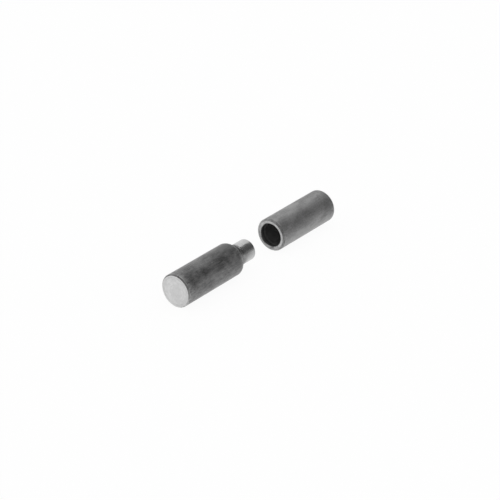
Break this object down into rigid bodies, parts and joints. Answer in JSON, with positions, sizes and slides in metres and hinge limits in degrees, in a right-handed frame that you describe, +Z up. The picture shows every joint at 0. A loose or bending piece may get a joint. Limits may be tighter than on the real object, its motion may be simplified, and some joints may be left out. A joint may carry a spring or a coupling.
{
  "type": "weld-on hinge",
  "caption": "Round lift-off weld-on hinge drawn apart in line: a scale-dark barrel with a bright pin, and a paler socket barrel that slides onto the pin and turns on it.",
  "frame": {"origin": "centre of the pin barrel's flat end, on the hinge line", "axes": "+X along the hinge line from the pin barrel's flat end through the pin to the socket barrel, +Z up as the hinge lies in the picture"},
  "size_m": [0.0955, 0.014, 0.014],
  "materials": {
    "scaled_steel": "dark mill scale, streaky and matt, bright on the cut flat end",
    "ground_steel": "ground and bright",
    "drawn_steel": "smooth drawn skin, pale machined mouth ring, dark bore"
  },
  "bodies": {
    "pin_half": {"pin_barrel": "scaled_steel"},
    "pin": {"hinge_pin": "ground_steel"},
    "socket_half": {"socket_barrel": "drawn_steel"}
  },
  "joints": [
    {"name": "turn", "type": "hinge", "parent": "pin_half", "child": "pin", "pos_m": [0.035, 0, 0], "axis": [1, 0, 0], "continuous": true},
    {"name": "lift_off", "type": "slide", "parent": "pin", "child": "socket_half", "axis": [-1, 0, 0], "range_m": [0, 0.0249]}
  ]
}
